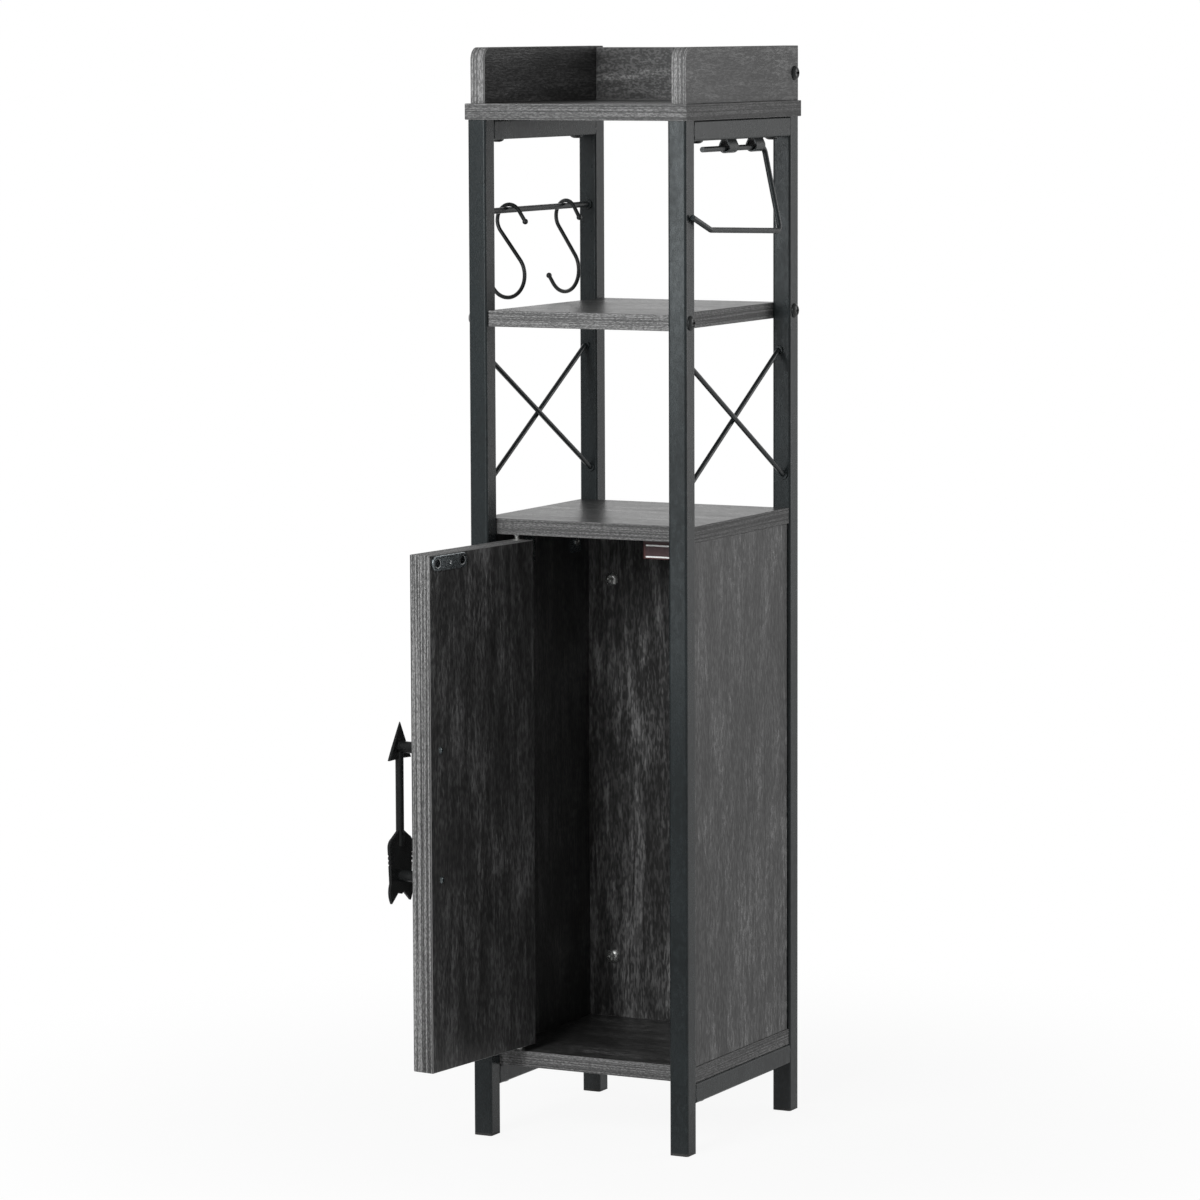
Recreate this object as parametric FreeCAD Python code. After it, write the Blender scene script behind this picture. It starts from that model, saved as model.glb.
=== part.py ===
import FreeCAD, Part
import math
import os

# Linen cabinet. All sizes in millimetres. Front is -Y, right is +X, +Z is up.
# The origin is on the floor, midway between the four legs.
os.makedirs("parts", exist_ok=True)

# Steel frame
frame_width = 240.0
frame_depth = 260.0
tube_width = 20.0
tube_wall = 1.5
tube_corner = 2.5
leg_clear = 50.0
foot_flange = 2.5
foot_plug_depth = 14.0
foot_plug_slack = 0.15
foot_plug_wall = 1.5

# Boards and the free heights between them
board_thick = 16.0
edge_ease = 0.5
cabinet_height = 522.0
lower_bay_height = 192.0
upper_bay_height = 188.0
board_side_recess = 1.5
panel_side_recess = 2.5
back_panel_inset = 2.0
shelf_front_recess = 4.0
top_overhang = 2.0

# Tray on the top board
guard_height = 55.0
back_guard_drop = 1.5
guard_side_inset = 3.5
guard_front_inset = 6.0
guard_corner = 12.0

# Door, built closed and then swung open about its pins
door_side_gap = 10.0
door_thick = 23.5
door_gap = 5.8
door_open_deg = 96.4
pin_from_hinge_edge = 8.0
pin_from_outer_face = 9.0
door_front_proud = 1.0
door_edge_ease = 0.6

# Pivot pins and their bushes
pin_diameter = 5.0
pin_in_board = 10.0
pin_in_door = 13.0
pin_collar_diameter = 10.0
pin_collar_thin = 1.0
pin_board_slack = 0.1
pin_fit = 0.05
bush_diameter = 9.0
bush_length = 14.0
bush_slack = 0.1

# Arrow pull
pull_pitch = 128.0
pull_from_free_edge = 16.6
pull_mid_height = 254.4
pull_reach = 26.0
pull_thick = 3.4
pull_shaft = 8.2
pull_post_diameter = 11.4
arrow_tip_above = 24.6
arrow_barb_below = 12.4
arrow_root_below = 11.6
arrow_half_width = 18.2
arrow_tip_thick = 1.6
fletch_top_above = 45.5
fletch_bend_above = 38.5
fletch_bend_half = 14.2
fletch_bulge_above = 35.4
fletch_bulge_half = 18.0
fletch_side_above = 29.5
fletch_half_width = 19.8
fletch_notches = 3
fletch_notch_first = 21.5
fletch_notch_pitch = 4.6
fletch_notch_depth = 1.1
fletch_notch_half = 1.2
fletch_waist_below = 6.0
fletch_waist_half = 17.4
fletch_belly_below = 14.0
fletch_belly_half = 19.2
fletch_tail_below = 26.5
fletch_tail_half = 15.8
fletch_cleft_below = 16.0
fletch_cleft_half = 4.0
nock_radius = 3.2
nock_below = 15.0
pull_edge_ease = 0.6
pull_screw_bite = 12.0

# Strike plate on the door and the magnetic catch it meets
strike_length = 59.0
strike_height = 15.0
strike_thick = 2.0
strike_end_radius = 7.35
strike_from_free_edge = 3.2
strike_from_top = 1.0
strike_hole_pitch = 42.0
strike_sink_depth = 1.2
strike_seat_slack = 0.1
strike_edge_round = 0.5
strike_dimple_diameter = 3.0
strike_dimple_depth = 0.8
catch_length = 44.0
catch_depth = 26.0
catch_height = 20.5
catch_corner = 1.5
catch_from_free_edge = 3.5
catch_air_gap = 0.4
catch_pole_length = 37.0
catch_pole_depth = 12.0
catch_pole_thick = 1.5
catch_pole_proud = 0.8
catch_floor = 1.4
catch_magnet_height = 9.8
catch_screw_pitch = 25.0
catch_screw_from_back = 7.0

# Crossed braces
brace_diameter = 5.0
brace_offset = 2.6
brace_rising_gap = 31.8
brace_falling_gap = 33.8
brace_foot_diameter = 9.0
brace_foot_thick = 2.0
brace_into_foot = 0.5

# Hook rod and its two S-hooks
hook_rod_diameter = 6.0
hook_rod_below_rail = 71.0
hook_rod_foot = 11.0
hook_rod_foot_thick = 2.5
hook_wire_diameter = 4.0
hook_ball_diameter = 5.8
hook_slack = 0.4
hook_upper_radius = 15.8
hook_lower_radius = 22.9
hook_center_drop = 54.4
hook_upper_shift = 1.1
hook_lower_shift = 3.6
hook_upper_flare_deg = 37.0
hook_lower_flare_deg = 40.5
hook_upper_flare = 13.0
hook_lower_flare = 10.0
hook_front_from_middle = 63.4
hook_back_from_middle = 59.9
hook_front_twist_deg = 12.0
hook_back_twist_deg = 22.0

# Roll holder and its two straps
holder_wire_diameter = 5.6
holder_drop_from_rail = 9.0
holder_swing_deg = 11.6
holder_rod_ahead = 72.5
holder_arm_behind = 68.5
holder_arm_length = 86.0
holder_bar_behind = 70.2
holder_bar_ahead = 87.0
holder_bar_rise = 6.8
holder_lip_ahead = 122.0
holder_lip_rise = 20.5
holder_bend = 7.0
strap_width = 20.0
strap_thick = 1.5
strap_slack = 0.45
strap_loop_radius = 4.8
strap_half_span = 3.4
strap_front_ahead = 13.0
strap_back_behind = 49.0

# Fasteners
bolt_shank = 6.0
bolt_hole = 6.4
bolt_head = 14.5
bolt_head_height = 3.4
screw_shank = 4.0
screw_hole = 4.4
hole_end_gap = 1.0
screw_head = 8.0
screw_head_height = 2.4
small_head = 7.0
small_head_height = 2.0
head_rim_share = 0.3
head_flat_share = 0.74
head_dome_share = 0.7
recess_length_share = 0.5
recess_width_share = 0.14
recess_depth_share = 0.45
shelf_bolt_bite = 22.0
guard_bolt_bite = 24.0
board_screw_bite = 10.0
rail_screw_from_post = 24.0
rail_screw_head = 13.0
rail_screw_head_height = 2.6
lug_reach = 36.0
lug_height = 20.0
lug_thick = 2.0
lug_leg = 18.0
lug_nut = 5.0
lug_nut_diameter = 11.0
back_bolt_from_panel_end = 27.2
back_bolt_from_board = 63.7
bracket_width = 20.0
bracket_drop = 34.0
bracket_run = 28.0
bracket_thick = 2.0
bracket_front_ahead = 40.0
bracket_back_behind = 62.0
bracket_screw_bite = 10.0
bracket_hole_share = 0.68
dowel_diameter = 8.0
dowel_hole_slack = 0.1
dowel_in_board = 9.0
dowel_in_panel = 18.0
dowel_from_middle = 62.0

# Levels and lines that follow from the sizes above
half_w = frame_width / 2.0
half_d = frame_depth / 2.0
post_x = half_w - tube_width / 2.0
post_y = half_d - tube_width / 2.0
inner_y = half_d - tube_width
inner_x = half_w - tube_width
bottom_rail_z = leg_clear
bottom_board_z = bottom_rail_z + tube_width
cabinet_floor_z = bottom_board_z + board_thick
cabinet_top_z = cabinet_floor_z + cabinet_height
cabinet_cover_z = cabinet_top_z + board_thick
shelf_z = cabinet_cover_z + lower_bay_height
shelf_top_z = shelf_z + board_thick
top_board_z = shelf_top_z + upper_bay_height
top_rail_z = top_board_z - tube_width
tray_z = top_board_z + board_thick
shelf_mid = shelf_z + board_thick / 2.0
panel_in_x = half_w - panel_side_recess - board_thick
back_panel_y1 = inner_y - back_panel_inset
back_panel_y0 = back_panel_y1 - board_thick
back_bolt_x = panel_in_x - back_bolt_from_panel_end
back_bolt_levels = (cabinet_floor_z + back_bolt_from_board, cabinet_top_z - back_bolt_from_board)
door_half = inner_x - door_side_gap
door_y0 = -inner_y - door_front_proud
door_y1 = door_y0 + door_thick
door_z0 = cabinet_floor_z + door_gap
door_z1 = cabinet_top_z - door_gap
pin_x = -door_half + pin_from_hinge_edge
pin_y = door_y0 + pin_from_outer_face
pull_x = door_half - pull_from_free_edge
pull_low_z = door_z0 + pull_mid_height - pull_pitch / 2.0
pull_high_z = pull_low_z + pull_pitch
strike_x = door_half - strike_from_free_edge - strike_length / 2.0
strike_z = door_z1 - strike_from_top - strike_height / 2.0
strike_face_y = door_y1 + strike_thick
catch_x1 = door_half + catch_from_free_edge
catch_x0 = catch_x1 - catch_length
catch_y0 = strike_face_y + catch_air_gap + catch_pole_proud
catch_z0 = cabinet_top_z - catch_height
catch_mid_x = (catch_x0 + catch_x1) / 2.0
catch_screw_y = catch_y0 + catch_depth - catch_screw_from_back
hook_rod_z = top_rail_z - hook_rod_below_rail
holder_z = top_rail_z - holder_drop_from_rail
guard_x1 = half_w + top_overhang - guard_side_inset
guard_x0 = guard_x1 - board_thick
guard_y0 = -half_d - top_overhang + guard_front_inset
guard_y1 = half_d + top_overhang
guard_bolt_y = guard_y1 - board_thick / 2.0
guard_bolt_z = tray_z + guard_height / 2.0
rail_screw_y = inner_y - rail_screw_from_post
bracket_lines = (-bracket_front_ahead, bracket_back_behind)

V = FreeCAD.Vector
AX = V(1, 0, 0)
AY = V(0, 1, 0)
AZ = V(0, 0, 1)
SIDES = (-1.0, 1.0)
ZERO = 0.0
FULL_TURN = 360.0
ALONG_SHARE = 0.99
ACROSS_SHARE = 0.01


def box(x0, x1, y0, y1, z0, z1):
    return Part.makeBox(x1 - x0, y1 - y0, z1 - z0, V(x0, y0, z0))


def rod(diameter, length, base, axis):
    return Part.makeCylinder(diameter / 2.0, length, base, axis)


def eased_board(x0, x1, y0, y1, z0, z1, ease=edge_ease):
    solid = box(x0, x1, y0, y1, z0, z1)
    return solid.makeChamfer(ease, solid.Edges)


def rounded_bar(x0, x1, y0, y1, z0, z1, radius, axis):
    solid = box(x0, x1, y0, y1, z0, z1)
    along = [e for e in solid.Edges if abs(e.tangentAt(e.FirstParameter).dot(axis)) > ALONG_SHARE]
    return solid.makeFillet(radius, along)


def square_tube(x0, x1, y0, y1, z0, z1, axis):
    outer = rounded_bar(x0, x1, y0, y1, z0, z1, tube_corner, axis)
    shrink = V(tube_wall, tube_wall, tube_wall) - axis * tube_wall
    inner = rounded_bar(x0 + shrink.x, x1 - shrink.x, y0 + shrink.y, y1 - shrink.y,
                        z0 + shrink.z, z1 - shrink.z, tube_corner - tube_wall, axis)
    return outer.cut(inner)


def joined(shapes):
    solid = shapes[0].fuse(shapes[1:])
    return solid.removeSplitter()


def save(name, shapes):
    shape = Part.makeCompound(shapes) if len(shapes) > 1 else shapes[0]
    shape.exportStep("parts/" + name + ".step")


def turned(shape, axis):
    # Screws are drawn with the head toward +Z and turned to the wanted axis.
    copy = shape.copy()
    copy.Placement = FreeCAD.Placement(V(), FreeCAD.Rotation(AZ, axis)).multiply(copy.Placement)
    return copy


def placed(shape, axis, at):
    copy = turned(shape, axis)
    copy.translate(at)
    return copy


def headed(head, height, shank, length, recessed):
    # A pan head turned in one piece with its shank: it seats on z = 0 and the shank points to -Z.
    half = head / 2.0
    rim = height * head_rim_share
    dome = V(half * head_flat_share, 0, rim + (height - rim) * head_dome_share)
    top = V(0, 0, height)
    end = V(0, 0, -length)
    side = [end, end + AX * shank / 2.0, AX * shank / 2.0, AX * half, AX * half + AZ * rim]
    profile = [Part.makeLine(p, q) for p, q in zip(side, side[1:])]
    profile.append(Part.Arc(side[-1], dome, top).toShape())
    profile.append(Part.makeLine(top, end))
    solid = Part.Face(Part.Wire(profile)).revolve(V(), AZ, FULL_TURN)
    if recessed:
        reach = head * recess_length_share / 2.0
        half = head * recess_width_share / 2.0
        deep = height * (1.0 - recess_depth_share)
        solid = solid.cut(box(-reach, reach, -half, half, deep, height * 2.0))
        solid = solid.cut(box(-half, half, -reach, reach, deep, height * 2.0))
    return solid


def arc_between(a, corner, b, radius):
    # Start, middle and end of the bend that rounds a corner of a bent wire.
    ua = (a - corner).normalize()
    ub = (b - corner).normalize()
    half = ua.getAngle(ub) / 2.0
    back = radius / math.tan(half)
    mid_dir = (ua + ub).normalize()
    center = corner + mid_dir * (radius / math.sin(half))
    return corner + ua * back, center - mid_dir * radius, corner + ub * back


def bent_path(points, radius):
    edges = []
    start = points[0]
    for i in range(1, len(points) - 1):
        p, m, q = arc_between(points[i - 1], points[i], points[i + 1], radius)
        edges.append(Part.makeLine(start, p))
        edges.append(Part.Arc(p, m, q).toShape())
        start = q
    edges.append(Part.makeLine(start, points[-1]))
    return edges


def swept(edges, diameter):
    path = Part.Wire(edges)
    start = edges[0].valueAt(edges[0].FirstParameter)
    along = edges[0].tangentAt(edges[0].FirstParameter)
    ring = Part.Wire([Part.makeCircle(diameter / 2.0, start, along)])
    return path.makePipeShell([ring], True, False)


# Posts: square tubes standing on the flanges of the foot plugs, drilled for the shelf bolts.
for row, sy in (("front", -1.0), ("back", 1.0)):
    for side, sx in (("left", -1.0), ("right", 1.0)):
        cx = sx * post_x
        cy = sy * post_y
        h = tube_width / 2.0
        post = square_tube(cx - h, cx + h, cy - h, cy + h, foot_flange, top_board_z, AZ)
        post = post.cut(rod(bolt_hole, tube_width * 2.0, V(cx - tube_width, cy, shelf_mid), AX))
        save(row + "_" + side + "_post", [post])

# Rails run front to back between the posts; both are drilled upward for the board screws.
for level, rail_z in (("top", top_rail_z), ("bottom", bottom_rail_z)):
    for side, sx in (("left", -1.0), ("right", 1.0)):
        cx = sx * post_x
        h = tube_width / 2.0
        rail = square_tube(cx - h, cx + h, -inner_y, inner_y, rail_z, rail_z + tube_width, AY)
        for sy in SIDES:
            rail = rail.cut(rod(screw_hole, tube_width * 2.0, V(cx, sy * rail_screw_y, rail_z - h), AZ))
        save(side + "_" + level + "_rail", [rail])

# Foot plugs: a flange under the tube and a hollow plug inside it.
plugs = []
for sx in SIDES:
    for sy in SIDES:
        cx = sx * post_x
        cy = sy * post_y
        h = tube_width / 2.0
        g = h - tube_wall - foot_plug_slack
        hollow = g - foot_plug_wall
        flange = rounded_bar(cx - h, cx + h, cy - h, cy + h, ZERO, foot_flange, tube_corner, AZ)
        plug = rounded_bar(cx - g, cx + g, cy - g, cy + g, foot_flange, foot_flange + foot_plug_depth,
                           tube_corner - tube_wall, AZ)
        void = box(cx - hollow, cx + hollow, cy - hollow, cy + hollow,
                   foot_flange, foot_flange + foot_plug_depth * 2.0)
        plugs.append(joined([flange, plug]).cut(void))
save("foot_plugs", plugs)

# Boards.
board_x = half_w - board_side_recess
panel_x1 = half_w - panel_side_recess
bottom_board = eased_board(-board_x, board_x, -inner_y, inner_y, bottom_board_z, cabinet_floor_z)
cover = eased_board(-board_x, board_x, -inner_y, inner_y, cabinet_top_z, cabinet_cover_z)
top_x = half_w + top_overhang
top_y = half_d + top_overhang
top_board = eased_board(-top_x, top_x, -top_y, top_y, top_board_z, tray_z)
for sx in SIDES:
    for sy in SIDES:
        at = V(sx * post_x, sy * rail_screw_y, ZERO)
        bottom_board = bottom_board.cut(rod(screw_hole, board_screw_bite, at + AZ * bottom_board_z, AZ))
        top_board = top_board.cut(rod(screw_hole, board_screw_bite, at + AZ * top_board_z, AZ))

# Dowels: side panels on the bottom board, guards on the top board.
dowel_hole = dowel_diameter + dowel_hole_slack * 2.0
dowel_up = dowel_in_panel - hole_end_gap
panel_mid_x = (panel_in_x + panel_x1) / 2.0
guard_mid_x = (guard_x0 + guard_x1) / 2.0
panel_dowel_points = [(sx * panel_mid_x, sy * dowel_from_middle) for sx in SIDES for sy in SIDES]
guard_dowel_points = [(sx * guard_mid_x, sy * dowel_from_middle) for sx in SIDES for sy in SIDES]
back_dowel_points = [(sx * dowel_from_middle, guard_bolt_y) for sx in SIDES]
dowels = []
for x, y in panel_dowel_points:
    foot = V(x, y, cabinet_floor_z - dowel_in_board)
    dowels.append(rod(dowel_diameter, dowel_in_board + dowel_up, foot, AZ))
    bottom_board = bottom_board.cut(rod(dowel_hole, dowel_in_board * 2.0, foot, AZ))
for x, y in guard_dowel_points + back_dowel_points:
    foot = V(x, y, tray_z - dowel_in_board)
    dowels.append(rod(dowel_diameter, dowel_in_board + dowel_up, foot, AZ))
    top_board = top_board.cut(rod(dowel_hole, dowel_in_board * 2.0, foot, AZ))
save("wood_dowels", dowels)
save("top_board", [top_board])

# Side panels stand between the bottom board and the cabinet top.
bracket_screw_z = cabinet_top_z - bracket_drop * bracket_hole_share
for side, sx in (("left", -1.0), ("right", 1.0)):
    x_a = min(sx * panel_in_x, sx * panel_x1)
    x_b = max(sx * panel_in_x, sx * panel_x1)
    panel = eased_board(x_a, x_b, -inner_y, back_panel_y1, cabinet_floor_z, cabinet_top_z)
    for x, y in panel_dowel_points:
        panel = panel.cut(rod(dowel_hole, dowel_in_panel, V(x, y, cabinet_floor_z), AZ))
    for bracket_y in bracket_lines:
        at = V(sx * panel_in_x, bracket_y, bracket_screw_z)
        panel = panel.cut(rod(screw_hole, bracket_screw_bite, at, AX * sx))
    save(side + "_side_panel", [panel])

# Back panel between the side panels, bolted to lugs on the back posts.
back_panel = eased_board(-panel_in_x, panel_in_x, back_panel_y0, back_panel_y1,
                         cabinet_floor_z, cabinet_top_z)
back_bolt = headed(bolt_head, bolt_head_height, bolt_shank, board_thick + lug_thick + lug_nut, True)
back_bolts = []
lugs = []
for sx in SIDES:
    for z in back_bolt_levels:
        at = V(sx * back_bolt_x, back_panel_y0, z)
        back_panel = back_panel.cut(rod(bolt_hole, board_thick * 2.0, at - AY * board_thick, AY))
        back_bolts.append(placed(back_bolt, -AY, at))
        h = lug_height / 2.0
        x_a = sx * inner_x
        x_b = sx * (inner_x - lug_reach)
        x_c = sx * (inner_x - lug_thick)
        y_a = back_panel_y1
        plate = box(min(x_a, x_b), max(x_a, x_b), y_a, y_a + lug_thick, z - h, z + h)
        leg = box(min(x_a, x_c), max(x_a, x_c), y_a, y_a + lug_leg, z - h, z + h)
        nut = rod(lug_nut_diameter, lug_nut, V(at.x, y_a + lug_thick, z), AY)
        lug = joined([plate, leg, nut])
        lugs.append(lug.cut(rod(bolt_hole, board_thick * 2.0, at, AY)))
save("back_panel", [back_panel])
save("back_panel_bolts", back_bolts)
save("back_panel_lugs", lugs)

# Angle brackets hold the cabinet top to the side panels.
bracket_screw = headed(screw_head, screw_head_height, screw_shank, bracket_thick + bracket_screw_bite, True)
bracket_screw_run = bracket_run * bracket_hole_share
brackets = []
bracket_screws = []
for sx in SIDES:
    for bracket_y in bracket_lines:
        y0 = bracket_y - bracket_width / 2.0
        y1 = y0 + bracket_width
        x_a = sx * panel_in_x
        x_b = x_a - sx * bracket_thick
        x_c = x_a - sx * bracket_run
        down = box(min(x_a, x_b), max(x_a, x_b), y0, y1, cabinet_top_z - bracket_drop, cabinet_top_z)
        flat = box(min(x_a, x_c), max(x_a, x_c), y0, y1, cabinet_top_z - bracket_thick, cabinet_top_z)
        side_at = V(x_b, bracket_y, bracket_screw_z)
        up_at = V(x_a - sx * bracket_screw_run, bracket_y, cabinet_top_z - bracket_thick)
        piece = joined([down, flat])
        piece = piece.cut(rod(screw_hole, bracket_thick, side_at, AX * sx))
        piece = piece.cut(rod(screw_hole, bracket_thick, up_at, AZ))
        brackets.append(piece)
        bracket_screws.append(placed(bracket_screw, AX * -sx, side_at))
        bracket_screws.append(placed(bracket_screw, -AZ, up_at))
        hole_from = V(up_at.x, up_at.y, cabinet_top_z)
        cover = cover.cut(rod(screw_hole, bracket_screw_bite, hole_from, AZ))
save("corner_brackets", brackets)
save("corner_bracket_screws", bracket_screws)

# Middle shelf between the side frames, held by bolts through the posts.
shelf_y = half_d - shelf_front_recess
shelf = eased_board(-inner_x, inner_x, -shelf_y, shelf_y, shelf_z, shelf_top_z)
shelf_bolt = headed(bolt_head, bolt_head_height, bolt_shank, tube_width + shelf_bolt_bite, True)
shelf_bolts = []
for sx in SIDES:
    for sy in SIDES:
        at = V(sx * half_w, sy * post_y, shelf_mid)
        shelf_bolts.append(placed(shelf_bolt, AX * sx, at))
        hole_from = V(sx * inner_x, sy * post_y, shelf_mid)
        shelf = shelf.cut(rod(bolt_hole, shelf_bolt_bite + hole_end_gap, hole_from, AX * -sx))
save("middle_shelf", [shelf])
save("shelf_bolts", shelf_bolts)

# Screws up through the rails into the bottom board and the top board.
rail_screw_length = tube_width + board_screw_bite - hole_end_gap
rail_screw = headed(rail_screw_head, rail_screw_head_height, screw_shank, rail_screw_length, True)
for level, rail_z in (("top", top_rail_z), ("bottom", bottom_rail_z)):
    screws = []
    for sx in SIDES:
        for sy in SIDES:
            screws.append(placed(rail_screw, -AZ, V(sx * post_x, sy * rail_screw_y, rail_z)))
    save(level + "_board_screws", screws)

# Tray guards on the top board.
guard_bolt = headed(bolt_head, bolt_head_height, bolt_shank, board_thick + guard_bolt_bite, True)
guard_bolts = []
back_guard = eased_board(-guard_x0, guard_x0, guard_y1 - board_thick, guard_y1,
                         tray_z, tray_z + guard_height - back_guard_drop)
for side, sx in (("left", -1.0), ("right", 1.0)):
    x_a = min(sx * guard_x0, sx * guard_x1)
    x_b = max(sx * guard_x0, sx * guard_x1)
    blank = box(x_a, x_b, guard_y0, guard_y1, tray_z, tray_z + guard_height)
    top_z = tray_z + guard_height - edge_ease
    front_edges = [e for e in blank.Edges if e.CenterOfMass.y < guard_y0 + edge_ease]
    front_top = [e for e in front_edges if e.CenterOfMass.z > top_z]
    guard = blank.makeFillet(guard_corner, front_top)
    guard = guard.makeChamfer(edge_ease, guard.Edges)
    at = V(sx * guard_x1, guard_bolt_y, guard_bolt_z)
    guard = guard.cut(rod(bolt_hole, board_thick, at, AX * -sx))
    for x, y in guard_dowel_points:
        guard = guard.cut(rod(dowel_hole, dowel_in_panel, V(x, y, tray_z), AZ))
    save("tray_" + side + "_guard", [guard])
    guard_bolts.append(placed(guard_bolt, AX * sx, at))
    hole_from = V(sx * guard_x0, guard_bolt_y, guard_bolt_z)
    back_guard = back_guard.cut(rod(bolt_hole, guard_bolt_bite + hole_end_gap, hole_from, AX * -sx))
for x, y in back_dowel_points:
    back_guard = back_guard.cut(rod(dowel_hole, dowel_in_panel, V(x, y, tray_z), AZ))
save("tray_back_guard", [back_guard])
save("tray_bolts", guard_bolts)

# Crossed braces: on each side one rod rises to the back and one falls, side by side.
foot_in = inner_y - brace_foot_thick
axis_in = foot_in + brace_into_foot
rising_ends = (cabinet_cover_z + brace_rising_gap, shelf_z - brace_rising_gap)
falling_ends = (shelf_z - brace_falling_gap, cabinet_cover_z + brace_falling_gap)
for side, sx in (("left", -1.0), ("right", 1.0)):
    for lean, ends, off in (("rising", rising_ends, -brace_offset), ("falling", falling_ends, brace_offset)):
        front_z, back_z = ends
        x = sx * post_x + off
        a = V(x, -axis_in, front_z)
        b = V(x, axis_in, back_z)
        stem = rod(brace_diameter, (b - a).Length, a, b - a)
        front_foot = rod(brace_foot_diameter, brace_foot_thick, V(x, -inner_y, front_z), AY)
        back_foot = rod(brace_foot_diameter, brace_foot_thick, V(x, foot_in, back_z), AY)
        save(side + "_brace_" + lean, [joined([stem, front_foot, back_foot])])

# Hook rod between the left posts, with a round foot at each end.
rod_x = -post_x
bar = rod(hook_rod_diameter, inner_y * 2.0, V(rod_x, -inner_y, hook_rod_z), AY)
feet = [rod(hook_rod_foot, hook_rod_foot_thick, V(rod_x, -inner_y, hook_rod_z), AY),
        rod(hook_rod_foot, hook_rod_foot_thick, V(rod_x, inner_y - hook_rod_foot_thick, hook_rod_z), AY)]
save("hook_rod", [joined([bar] + feet)])


def on_circle(center, radius, degrees):
    a = math.radians(degrees)
    return center + V(radius * math.cos(a), 0, radius * math.sin(a))


def s_hook(y, twist_deg):
    # Two open loops joined by a slanted shank, hung on the rod by the upper loop and turned a little.
    r1 = hook_upper_radius
    r2 = hook_lower_radius
    hang = r1 - hook_rod_diameter / 2.0 - hook_wire_diameter / 2.0 - hook_slack
    sag = math.sqrt(hang * hang - hook_upper_shift * hook_upper_shift)
    up = V(rod_x + hook_upper_shift, y, hook_rod_z - sag)
    low = V(up.x - hook_lower_shift, y, up.z - hook_center_drop)
    axis = (low - up).normalize()
    left = V(axis.z, 0, -axis.x)
    cosine = (r1 + r2) / (low - up).Length
    sine = math.sqrt(1.0 - cosine * cosine)
    normal = axis * cosine + left * sine
    t1 = up + normal * r1
    t2 = low - normal * r2
    top_end = on_circle(up, r1, hook_upper_flare_deg)
    low_end = low * 2.0 - on_circle(low, r2, hook_lower_flare_deg)
    upper = math.radians(hook_upper_flare_deg)
    lower = math.radians(hook_lower_flare_deg)
    tip = top_end + V(math.sin(upper), 0, -math.cos(upper)) * hook_upper_flare
    tail = low_end + V(-math.sin(lower), 0, math.cos(lower)) * hook_lower_flare
    edges = [Part.makeLine(tip, top_end),
             Part.Arc(top_end, up + AZ * r1, t1).toShape(),
             Part.makeLine(t1, t2),
             Part.Arc(t2, low - AZ * r2, low_end).toShape(),
             Part.makeLine(low_end, tail)]
    ball = hook_ball_diameter / 2.0
    balls = [Part.makeSphere(ball, tip), Part.makeSphere(ball, tail)]
    hook = joined([swept(edges, hook_wire_diameter)] + balls)
    hook.rotate(up, AZ, -twist_deg)
    return hook


save("s_hook_front", [s_hook(-hook_front_from_middle, hook_front_twist_deg)])
save("s_hook_back", [s_hook(hook_back_from_middle, hook_back_twist_deg)])

# Roll holder: one bent wire hanging in two straps, its lip leaning on the front right post.
swing = math.radians(holder_swing_deg)
down_dir = V(math.sin(swing), 0, -math.cos(swing))
hang_at = V(post_x, 0, holder_z)


def holder_point(y, drop):
    return hang_at + AY * y + down_dir * drop


holder_points = [holder_point(-holder_rod_ahead, ZERO),
                 holder_point(holder_arm_behind, ZERO),
                 holder_point(holder_bar_behind, holder_arm_length),
                 holder_point(-holder_bar_ahead, holder_arm_length - holder_bar_rise),
                 holder_point(-holder_lip_ahead, holder_arm_length - holder_lip_rise)]
save("roll_holder", [swept(bent_path(holder_points, holder_bend), holder_wire_diameter)])


def tangent_degrees(radius, px, pz):
    reach = math.hypot(px, pz)
    return math.degrees(math.atan2(pz, px) - math.acos(radius / reach))


def strap(y):
    # A strip looped under the wire, drawn in above it, both ends welded to the underside of the rail.
    ri = strap_loop_radius
    ro = ri + strap_thick
    lift = ri - holder_wire_diameter / 2.0 - strap_slack
    rise = holder_drop_from_rail - lift
    e_out = strap_half_span
    e_in = strap_half_span - strap_thick
    d_out = tangent_degrees(ro, e_out, rise)
    d_in = tangent_degrees(ri, e_in, rise)
    c = hang_at + AY * (y - strap_width / 2.0) + AZ * lift
    o1 = on_circle(c, ro, d_out)
    o2 = V(c.x * 2.0 - o1.x, o1.y, o1.z)
    i1 = on_circle(c, ri, d_in)
    i2 = V(c.x * 2.0 - i1.x, i1.y, i1.z)
    outline = [Part.makeLine(c + V(e_out, 0, rise), o1),
               Part.Arc(o1, c - AZ * ro, o2).toShape(),
               Part.makeLine(o2, c + V(-e_out, 0, rise)),
               Part.makeLine(c + V(-e_out, 0, rise), c + V(-e_in, 0, rise)),
               Part.makeLine(c + V(-e_in, 0, rise), i2),
               Part.Arc(i2, c - AZ * ri, i1).toShape(),
               Part.makeLine(i1, c + V(e_in, 0, rise)),
               Part.makeLine(c + V(e_in, 0, rise), c + V(e_out, 0, rise))]
    return Part.Face(Part.Wire(outline)).extrude(AY * strap_width)


save("roll_holder_strap_front", [strap(-strap_front_ahead)])
save("roll_holder_strap_back", [strap(strap_back_behind)])

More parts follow.
